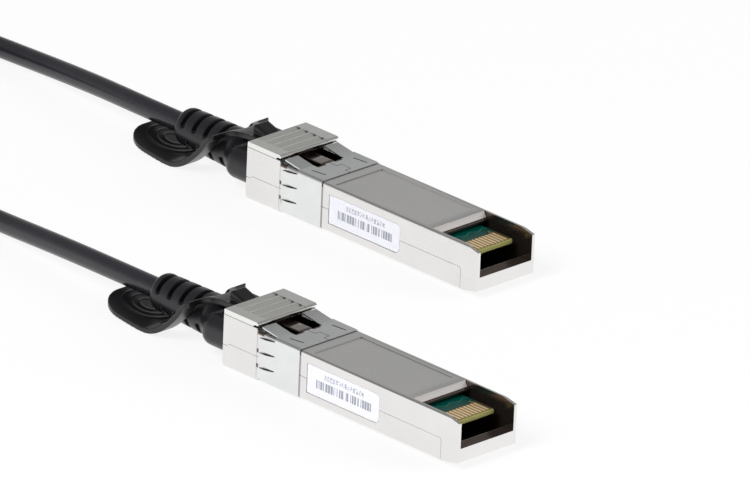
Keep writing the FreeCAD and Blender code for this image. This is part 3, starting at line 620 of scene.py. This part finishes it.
def dressed(node, edge=0.0):
    """Copy of a node's solid with real edges, which stands for the node."""
    source = frame["nodes"][node]
    piece = bpy.data.objects.new(node + "_piece", source.data.copy())
    bpy.context.collection.objects.link(piece)
    choose(piece)
    bpy.ops.object.mode_set(mode="EDIT")
    bpy.ops.mesh.select_all(action="SELECT")
    bpy.ops.mesh.remove_doubles(threshold=merge_distance * MM)
    bpy.ops.mesh.dissolve_limited(angle_limit=flat_angle)
    bpy.ops.object.mode_set(mode="OBJECT")
    if edge:
        bevel = piece.modifiers.new("soft edges", "BEVEL")
        bevel.width = edge * MM
        bevel.segments = 2
        bevel.limit_method = "ANGLE"
        bevel.angle_limit = edge_angle
        bpy.ops.object.modifier_apply(modifier=bevel.name)
    bpy.ops.object.shade_smooth_by_angle(angle=edge_angle)
    flat = piece.modifiers.new("flat faces", "WEIGHTED_NORMAL")
    flat.weight = flat_face_weight
    flat.keep_sharp = True
    bpy.ops.object.modifier_apply(modifier=flat.name)
    piece.data.materials.clear()
    piece.data.materials.append(finishes[finish_name(node)].material)
    finished(piece, body_of[node], slot_of[node], node)
    return piece


# %% [markdown]
# Castings and stamped sheet already have their edges in the solid, so they get none here. Plates,
# chips and the board have edges that a hand would feel as rounded, each by its own small width.

# %% Metal pieces, board and label of both plugs
soft_edges = {"base_shell": 0, "cover_shell": 0, "emi_collar": 0, "latch_cover": 0.08,
              "latch_rocker": 0.06, "rocker_pin": 0, "pull_slider": 0, "return_spring": 0,
              "shield_ferrule": 0, "wire_pairs": 0, "memory_chip": 0.05, "capacitors": 0.04,
              "gold_contacts": 0, "cable_lead": 0, "circuit_board": 0.05, "side_label": 0.02}
for letter in "ab":
    for name, edge in soft_edges.items():
        dressed(name + "_" + letter, edge)
print("dressed pieces", 2 * len(soft_edges))

# %% [markdown]
# The strain relief and the pull tab are soft mouldings with no sharp edge anywhere. A few plain
# forms are cut and joined, a voxel remesh melts them into one skin, and smoothing rounds what
# the mould would have rounded. They are modelled at one plug's origin with one unit to the
# millimetre, and each plug then gets its own copy. Edges are picked by where they lie, to within
# a tenth of a millimetre, and by which way they run.

# %% Helpers that make and select plain forms
straight = 0.9
near = 0.1


def block(low, high):
    """Cube between two opposite corners."""
    low, high = Vector(low), Vector(high)
    bpy.ops.object.select_all(action="DESELECT")
    bpy.ops.mesh.primitive_cube_add(size=1, location=(low + high) / 2, scale=high - low)
    bpy.ops.object.transform_apply(location=True, rotation=True, scale=True)
    return bpy.context.object


def rod(radius, start, end, sides=64):
    """Cylinder round the cable's line between two places along the plug."""
    bpy.ops.object.select_all(action="DESELECT")
    bpy.ops.mesh.primitive_cylinder_add(vertices=sides, radius=radius, depth=abs(end - start),
                                        location=((start + end) / 2, 0, cable_height),
                                        rotation=(0, math.pi / 2, 0))
    bpy.ops.object.transform_apply(location=True, rotation=True, scale=True)
    return bpy.context.object


def select(piece, wanted, kind="EDGE"):
    """Enter edit mode with the vertices or edges selected whose middle passes a test."""
    choose(piece)
    bpy.ops.object.mode_set(mode="EDIT")
    bpy.ops.mesh.select_mode(type=kind)
    bpy.ops.mesh.select_all(action="DESELECT")
    bpy.ops.object.mode_set(mode="OBJECT")
    places = [vertex.co.copy() for vertex in piece.data.vertices]
    if kind == "VERT":
        for vertex in piece.data.vertices:
            vertex.select = wanted(vertex.co)
    else:
        for edge in piece.data.edges:
            first, second = (places[index] for index in edge.vertices)
            edge.select = wanted((first + second) / 2, (second - first).normalized())
    bpy.ops.object.mode_set(mode="EDIT")


def round_edges(piece, wanted, radius, segments=6):
    """Bevel the edges that pass a test on their middle and their direction."""
    select(piece, wanted)
    bpy.ops.mesh.bevel(offset=radius, segments=segments, affect="EDGES")
    bpy.ops.object.mode_set(mode="OBJECT")


print("forms are made by", [helper.__name__ for helper in (block, rod, round_edges)])

# %% Helpers that cut, join and melt forms
def modified(piece, kind, **settings):
    """Add a modifier with its settings and apply it."""
    choose(piece)
    modifier = piece.modifiers.new(kind.lower(), kind)
    for name, value in settings.items():
        setattr(modifier, name, value)
    bpy.ops.object.modifier_apply(modifier=modifier.name)


def cut(piece, tool, operation="DIFFERENCE"):
    """Boolean with a tool shape that is thrown away afterwards."""
    modified(piece, "BOOLEAN", operation=operation, object=tool, solver="EXACT")
    bpy.data.objects.remove(tool)


def joined(pieces):
    """Several objects made one, which is the first of them."""
    choose(pieces[0])
    for piece in pieces:
        piece.select_set(True)
    bpy.ops.object.join()
    return pieces[0]


def skinned(piece, voxel):
    """One closed skin over overlapping forms."""
    modified(piece, "REMESH", mode="VOXEL", voxel_size=voxel, adaptivity=0)


def smoothed(piece, rounds):
    modified(piece, "SMOOTH", factor=0.5, iterations=rounds)


def settle(piece, name, slot, bodies):
    """Copies of a form on both plugs, at true size, each with its own mesh."""
    bpy.ops.object.select_all(action="DESELECT")
    for letter in "ab":
        copy = bpy.data.objects.new(name + "_" + letter + "_piece", piece.data.copy())
        bpy.context.collection.objects.link(copy)
        copy.data.transform(Matrix.Translation(origins[letter]) @ Matrix.Scale(MM, 4))
        choose(copy)
        bpy.ops.object.shade_smooth()
        copy.data.materials.clear()
        copy.data.materials.append(finishes[slot].material)
        finished(copy, bodies + letter if bodies.endswith("_") else bodies, slot, name + "_" + letter)
    print(name, "faces", len(piece.data.polygons))
    bpy.data.objects.remove(piece)


print("forms are finished by", [helper.__name__ for helper in (cut, joined, skinned, smoothed, settle)])

# %% [markdown]
# The strain relief is moulded on the cable: a block with rounded rear edges sits against the
# head and flows through a wide flat neck into a round sleeve. The neck and the sleeve's front end
# are wider than the sleeve and a little lower than the cable, so the sleeve flares to the block.

# %% Strain relief
block_front = -56.0
block_rear = -62.9
block_half = 6.4
block_low = 1.1
block_high = 6.8
block_round = 2.4
sleeve_radius = 3.35
sleeve_round = 1.1
flared_radius = 3.75
flared_height = 3.85
flare = flared_radius / sleeve_radius
neck_start = -60.8
neck_end = -64.6
neck_width = 1.6
neck_height = 0.76
sleeve_lap = 0.1
boot_end = -78.0
boot_voxel = 0.14

shoulder = block((block_rear, -block_half, block_low), (block_front, block_half, block_high))
round_edges(shoulder, lambda middle, way: middle.x < block_front - 1, block_round, 8)

neck = rod(flared_radius, neck_start, neck_end)
select(neck, lambda place: place.x > neck_end + 1, "VERT")
bpy.ops.transform.resize(value=(1, neck_width, neck_height))
bpy.ops.object.mode_set(mode="OBJECT")
select(neck, lambda place: True, "VERT")
bpy.ops.transform.translate(value=(0, 0, flared_height - cable_height))
bpy.ops.object.mode_set(mode="OBJECT")

sleeve = rod(sleeve_radius, neck_end + sleeve_lap, boot_end)
round_edges(sleeve, lambda middle, way: middle.x < boot_end + near, sleeve_round)
select(sleeve, lambda place: place.x > neck_end - 1, "VERT")
bpy.ops.transform.resize(value=(1, flare, flare))
bpy.ops.transform.translate(value=(0, 0, flared_height - cable_height))
bpy.ops.object.mode_set(mode="OBJECT")
boot = joined([shoulder, neck, sleeve])
skinned(boot, boot_voxel)
smoothed(boot, 4)
print("boot body", [round(value, 1) for value in boot.dimensions])

# %% [markdown]
# Slots are cut half way round the sleeve from above and below, in turn. Each slot's tool is a block with
# two rounded edges, so the slot's floor is round too. A thin core stays round the cable in every slot, and
# the bore for the cable is cut last.

# %% Slots, core and bore of the strain relief
slot_first = -67.1
slot_pitch = 2.9
slot_width = 1.05
slot_side = 0.9
slot_count = 4
slot_reach = 5
slot_top = 9
slot_bottom = -1
slot_round = 0.45
core_radius = 2.3
core_lap = 0.5
core_inset = 0.4
core_voxel = 0.11
bore_margin = 1

for index in range(slot_count):
    middle = slot_first - index * slot_pitch
    above = block((middle - slot_width / 2, -slot_reach, cable_height + slot_side),
                  (middle + slot_width / 2, slot_reach, slot_top))
    round_edges(above, lambda place, way: abs(way.y) > straight and place.z < cable_height + 1, slot_round)
    cut(boot, above)
    middle += slot_pitch / 2
    below = block((middle - slot_width / 2, -slot_reach, slot_bottom),
                  (middle + slot_width / 2, slot_reach, cable_height - slot_side))
    round_edges(below, lambda place, way: abs(way.y) > straight and place.z > cable_height - 1, slot_round)
    cut(boot, below)
core = rod(core_radius, neck_end + core_lap, boot_end + core_inset)
boot = joined([boot, core])
skinned(boot, core_voxel)
cut(boot, rod(cable_radius, block_front + bore_margin, boot_end - bore_margin))
smoothed(boot, 3)
settle(boot, "strain_relief", "boot_rubber", "cable_and_plugs")

# %% [markdown]
# The pull tab is one moulded strip. From a thick neck over the slider it passes a lug, bends down
# over the strain relief, splits into two legs beside it and ends in a flat paddle under the
# cable. The strip is drawn as a line in side view, pulled out sideways and given its thickness.

# %% Pull tab's strip
tab_half = 7.0
tab_strap = 0.9
strip_margin = 0.5
strip_line = [(-58.6, 8.5), (-65.0, 8.5), (-67.6, cable_height), (-72.6, -0.23), (-78.0, -0.23),
              (-88.2, 1.45)]

line = bpy.data.curves.new("strip_line", "CURVE")
line.dimensions = "3D"
spline = line.splines.new("NURBS")
spline.points.add(len(strip_line) - 1)
for point, (x, z) in zip(spline.points, strip_line):
    point.co = (x, -tab_half - strip_margin, z, 1.0)
spline.order_u = 3
spline.use_endpoint_u = True
spline.resolution_u = 10
strip = bpy.data.objects.new("pull_tab_form", line)
bpy.context.collection.objects.link(strip)
choose(strip)
bpy.ops.object.convert(target="MESH")
strip = bpy.context.object
strip_width = 2 * (tab_half + strip_margin)
bpy.ops.object.mode_set(mode="EDIT")
bpy.ops.mesh.select_all(action="SELECT")
bpy.ops.mesh.extrude_region_move(TRANSFORM_OT_translate={"value": (0, strip_width, 0)})
bpy.ops.object.mode_set(mode="OBJECT")
modified(strip, "SOLIDIFY", thickness=tab_strap, offset=0, use_even_offset=True)
choose(strip)
bpy.ops.object.mode_set(mode="EDIT")
bpy.ops.mesh.select_all(action="SELECT")
bpy.ops.mesh.normals_make_consistent(inside=False)
bpy.ops.object.mode_set(mode="OBJECT")
print("strip", [round(value, 1) for value in strip.dimensions])

# %% [markdown]
# Seen from above, the tab is a narrow neck on a wide paddle with round corners, with a slot that
# leaves two legs. That plan is a block whose middle part is pulled forward, and the strip is cut
# out by it like dough.

# %% Plan of the pull tab
tab_neck_half = 3.0
tab_tip = -87.2
tip_round = 6.0
shoulder_place = -64.6
shoulder_outer_round = 0.8
shoulder_inner_round = 1.6
neck_reach = 7.5
plan_low = -2
plan_high = 12

plan = block((tab_tip, -tab_half, plan_low), (shoulder_place, tab_half, plan_high))
upright = lambda way: abs(way.z) > straight
at_shoulder = lambda place, way: upright(way) and abs(place.x - shoulder_place) < near
round_edges(plan, lambda place, way: upright(way) and place.x < tab_tip + near, tip_round, 12)
select(plan, lambda place: True, "VERT")
for side in (-tab_neck_half, tab_neck_half):
    bpy.ops.mesh.select_all(action="SELECT")
    bpy.ops.mesh.bisect(plane_co=(0, side, 0), plane_no=(0, 1, 0))
bpy.ops.object.mode_set(mode="OBJECT")
choose(plan)
bpy.ops.object.mode_set(mode="EDIT")
bpy.ops.mesh.select_mode(type="FACE")
bpy.ops.mesh.select_all(action="DESELECT")
bpy.ops.object.mode_set(mode="OBJECT")
for face in plan.data.polygons:
    face.select = face.normal.x > straight and abs(face.center.y) < 1
bpy.ops.object.mode_set(mode="EDIT")
bpy.ops.mesh.extrude_region_move(TRANSFORM_OT_translate={"value": (neck_reach, 0, 0)})
bpy.ops.object.mode_set(mode="OBJECT")
round_edges(plan, lambda place, way: at_shoulder(place, way) and abs(place.y) > tab_half - 0.5,
            shoulder_outer_round, 4)
round_edges(plan, lambda place, way: at_shoulder(place, way) and abs(abs(place.y) - tab_neck_half) < near,
            shoulder_inner_round, 6)
cut(strip, plan, "INTERSECT")
print("plan cut", [round(value, 1) for value in strip.dimensions])

# %% Slot between the legs of the pull tab
fork_start = -63.1
fork_end = -74.4
fork_low = -3
fork_high = 13
fork_chamfer = 2.5
fork_round = 1.0
leg_inner = 3.75

fork = block((fork_end, -leg_inner, fork_low), (fork_start, leg_inner, fork_high))
round_edges(fork, lambda place, way: upright(way) and place.x > fork_start - near, fork_chamfer, 1)
round_edges(fork, lambda place, way: upright(way) and place.x < fork_end + near, fork_round, 4)
cut(strip, fork)
print("cut strip", [round(value, 1) for value in strip.dimensions])

# %% [markdown]
# The neck fills the mouth of the latch chamber, and the lug on it is a low wedge for a fingertip,
# so its front edge is moved down before its upper edges are rounded.

# %% Neck and lug of the pull tab
neck_low = 6.95
neck_high = 9.0
neck_rear = -59.4
neck_front = -56.02
root_rear = -58.4
lug_top = 10.7
lug_front_top = 9.6
lug_half = 1.7
lug_rear = -59.9
lug_front = -56.5
lug_sink = 0.6
lug_round = 0.55

neck = block((neck_rear, -tab_neck_half, strip_line[0][1] - tab_strap / 2),
             (neck_front, tab_neck_half, neck_high))
root = block((root_rear, -tab_neck_half, neck_low), (neck_front, tab_neck_half, neck_high))
lug = block((lug_rear, -lug_half, neck_high - lug_sink), (lug_front, lug_half, lug_top))
select(lug, lambda place: place.x > lug_front - near and place.z > lug_top - near, "VERT")
bpy.ops.transform.translate(value=(0, 0, lug_front_top - lug_top))
bpy.ops.object.mode_set(mode="OBJECT")
round_edges(lug, lambda place, way: place.z > lug_front_top + 0.3 and place.x < lug_front - 1,
            lug_round, 5)
print("lug", [round(value, 1) for value in lug.dimensions])

# %% [markdown]
# Three oval rings on the paddle give the fingers grip. Each starts as a torus. Its points are
# spread to an oval and dropped onto the strip along a ray from above, so the ring follows the
# paddle's bend.

# %% Grip rings of the pull tab
ring_centre = -80.6
ring_sizes = ((5.0, 4.2), (3.5, 2.9), (2.0, 1.6))
ring_thickness = 0.1
ring_swell = 2.8
ring_relief = 0.9
ray_height = 20
tab_voxel = 0.12

rings = []
for long_radius, short_radius in ring_sizes:
    bpy.ops.object.select_all(action="DESELECT")
    bpy.ops.mesh.primitive_torus_add(location=(ring_centre, 0, 0), major_radius=1,
                                     minor_radius=ring_thickness, major_segments=64, minor_segments=12)
    ring = bpy.context.object
    for vertex in ring.data.vertices:
        radius = math.hypot(vertex.co.x, vertex.co.y)
        direction = Vector((vertex.co.x, vertex.co.y, 0)) / radius
        flat = Vector((direction.x * long_radius, direction.y * short_radius, 0))
        flat += direction * ((radius - 1) * ring_swell)
        above = Vector((ring_centre + flat.x, flat.y, ray_height))
        hit, spot, normal, face = strip.ray_cast(above, Vector((0, 0, -1)))
        vertex.co = Vector((flat.x, flat.y, spot.z + vertex.co.z * ring_relief))
    bpy.ops.object.transform_apply(location=True, rotation=True, scale=True)
    rings.append(ring)

tab = joined([strip, neck, root, lug] + rings)
skinned(tab, tab_voxel)
smoothed(tab, 3)
settle(tab, "pull_tab", "tab_rubber", "pull_")

# %% [markdown]
# The cable is one smooth curve from the first plug to the second. Its free stretches follow listed points,
# and the length that isn't needed between the plugs is wound into a flat coil of two layers: inward on the
# table, up at the eye of the coil, and outward on top.

# %% Cable's free stretches
def run_route(letter, places):
    """Points of one stretch in metres, from places in the plug's own millimetres."""
    return [origins[letter] + Vector(point) * MM for point in places]


first_run = run_route("a", [(boot_end, 0, cable_height), (-88.0, 0, cable_height), (-103.0, 1.7, 3.3),
                            (-125.0, 3.9, 1.35)])
second_run = run_route("b", [(boot_end, 0, cable_height), (-88.0, 0, cable_height), (-104.0, 1.3, 3.3),
                             (-130.0, 3.8, 1.15), (-171.0, 5.2, 1.2)])
print("free points", len(first_run), "and", len(second_run))

# %% [markdown]
# A NURBS curve cuts inside its control points, so the coil's points lie a little outside its
# turns. Radius and height are each read from a short list of stops, counted in turns. In the
# last half turn the cable leaves the top layer and comes down to the table in a soft bend.

# %% Coil's points
coil_low, coil_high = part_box("cable_coil")
coil_middle = (coil_low + coil_high) / 2
turn_gap = 3.6
coil_depth = 10.8
outer_turn = (coil_high.x - coil_low.x) / 2 - cable_radius * MM
inner_turn = outer_turn - coil_depth * MM
second_turn = outer_turn - turn_gap * MM
floor_level = coil_low.z + cable_radius * MM
upper_level = coil_high.z - cable_radius * MM
drop = upper_level - floor_level
points_per_turn = 16
turns = 6.5
first_angle = 0.25
control_share = 1 / math.cos(math.pi / points_per_turn)
radius_stops = [(0, outer_turn), (0.25, second_turn), (2.25, inner_turn), (3.0, inner_turn),
                (6.0, outer_turn), (turns, outer_turn)]
height_stops = [(0, floor_level), (2.25, floor_level), (2.75, upper_level), (6.0, upper_level),
                (6.13, upper_level - 0.08 * drop), (6.25, upper_level - 0.3 * drop),
                (turns, floor_level)]


def read_off(value, stops):
    """Number read from a list of (place, number) stops, straight between them."""
    for (start, low), (end, high) in zip(stops, stops[1:]):
        if value <= end:
            return low + (high - low) * (value - start) / (end - start)
    return stops[-1][1]


def coil_points():
    """Turns of the coil: inward in the lower layer, then outward in the upper one."""
    points = []
    for index in range(1, int(turns * points_per_turn)):
        turn = index / points_per_turn
        angle = 2 * math.pi * (turn + first_angle)
        radius = read_off(turn, radius_stops) * control_share
        points.append(Vector((coil_middle.x + radius * math.cos(angle),
                              coil_middle.y + radius * math.sin(angle), read_off(turn, height_stops))))
    return points


route = first_run + coil_points() + second_run[::-1]
print("cable points", len(route))

# %% Cable
curve = bpy.data.curves.new("twinax_cable", "CURVE")
curve.dimensions = "3D"
spline = curve.splines.new("NURBS")
spline.points.add(len(route) - 1)
for point, place in zip(spline.points, route):
    point.co = (*place, 1.0)
spline.order_u = 3
spline.use_endpoint_u = True
spline.resolution_u = 4
curve.bevel_depth = cable_radius * MM
curve.bevel_resolution = 6
curve.use_fill_caps = True
cable = bpy.data.objects.new("twinax_cable", curve)
bpy.context.collection.objects.link(cable)
curve.materials.append(finishes["cable_jacket"].material)
print("cable diameter", 2 * cable_radius, "mm")

# %% [markdown]
# The cable's length is measured here on the curve itself, along its bare middle line, so the length always
# agrees with the curve: it reports the length and can't prove that the length is right.

# %% Cable's length and what it replaces
def measured_length(item):
    """Length of a curve's middle line."""
    bare = item.data.copy()
    bare.bevel_depth = 0
    probe = bpy.data.objects.new("probe", bare)
    line = bpy.data.meshes.new_from_object(probe)
    places = [vertex.co.copy() for vertex in line.vertices]
    length = sum((after - before).length for before, after in zip(places, places[1:]))
    bpy.data.objects.remove(probe)
    bpy.data.meshes.remove(line)
    return length


cable_length = measured_length(cable)
finished(cable, "cable_and_plugs", "cable_jacket", "cable_run_a", "cable_run_b", "cable_coil")
print("cable length", round(cable_length, 4))

# %% [markdown]
# A flat cloth tie holds the coil together. Its solid is right as it is, and only its edges are
# rounded.

# %% Tie round the coil
tie_edge = 0.25
dressed("coil_tie", tie_edge)
print("tie edge", tie_edge, "mm")

# %% [markdown]
# The photograph has a bare white ground. The floor is a plain pale sheet that stays white in the
# camera's eye and in the metal's reflections, and otherwise keeps the plugs' soft shadow.

# %% Floor
floor_size = 6
whiteness = 0.85

bpy.ops.object.select_all(action="DESELECT")
bpy.ops.mesh.primitive_plane_add(size=floor_size)
floor = bpy.context.object
floor.name = "pale_floor"
paper = Finish("white_paper", Roughness=0.9)
paper.give("Base Color", colour(0.92, 0.92, 0.92))
seen = paper.tree.nodes.new("ShaderNodeLightPath")
camera_ray, glossy_ray, clear_ray = (Signal(paper, seen.outputs["Is " + kind + " Ray"])
                                     for kind in ("Camera", "Glossy", "Transmission"))
white_rays = (camera_ray + glossy_ray + clear_ray) * whiteness
glow = paper.node("Emission", inputs={"Color": colour(1, 1, 1), "Strength": 1.0})
blend = paper.tree.nodes.new("ShaderNodeMixShader")
paper.join(blend.inputs[0], white_rays)
paper.tree.links.new(paper.shader.outputs[0], blend.inputs[1])
paper.join(blend.inputs[2], glow)
paper.tree.links.new(blend.outputs[0], paper.tree.nodes["Material Output"].inputs["Surface"])
floor.data.materials.append(paper.material)
print("floor", floor.name)

# %% [markdown]
# Metal shows what surrounds it. The world is white at the horizon and greyer towards the
# ceiling, so the plugs' flanks mirror the white ground and their roofs mirror the grey above.

# %% World
greys = ((0.02, 1.0), (0.2, 0.56), (0.4, 0.37), (0.6, 0.27), (1.0, 0.20))

world = bpy.data.worlds.new("studio")
bpy.context.scene.world = world
world.use_nodes = True
sky = world.node_tree
background = sky.nodes["Background"]
where = sky.nodes.new("ShaderNodeTexCoord")
split = sky.nodes.new("ShaderNodeSeparateXYZ")
ramp = sky.nodes.new("ShaderNodeValToRGB")
sky.links.new(where.outputs["Generated"], split.inputs[0])
sky.links.new(split.outputs["Z"], ramp.inputs[0])
ramp.color_ramp.elements.remove(ramp.color_ramp.elements[1])
for index, (height, grey) in enumerate(greys):
    element = ramp.color_ramp.elements[0] if index == 0 else ramp.color_ramp.elements.new(height)
    element.position = height
    element.color = colour(grey, grey, grey)
sky.links.new(ramp.outputs[0], background.inputs["Color"])
background.inputs["Strength"].default_value = 1.0
print("world greys", greys)

# %% [markdown]
# Two large soft lamps bring the light from above back to a plain level. They are hidden from
# glossy rays, because on metal this small they would mirror as hard white patches.

# %% Lamps
lamp_size = 0.7


def softbox(name, place, power):
    """Square lamp that faces the object."""
    bpy.ops.object.select_all(action="DESELECT")
    bpy.ops.object.light_add(type="AREA", location=place)
    lamp = bpy.context.object
    lamp.name = name
    lamp.data.size = lamp_size
    lamp.data.energy = power
    lamp.visible_glossy = False
    lamp.rotation_mode = "QUATERNION"
    lamp.rotation_quaternion = (-Vector(place)).to_track_quat("-Z", "Y")


softbox("key_light", (0.1, -1.1, 1.1), 20)
softbox("fill_light", (0.9, 0.8, 0.6), 10)
bpy.context.scene.view_settings.view_transform = "Standard"
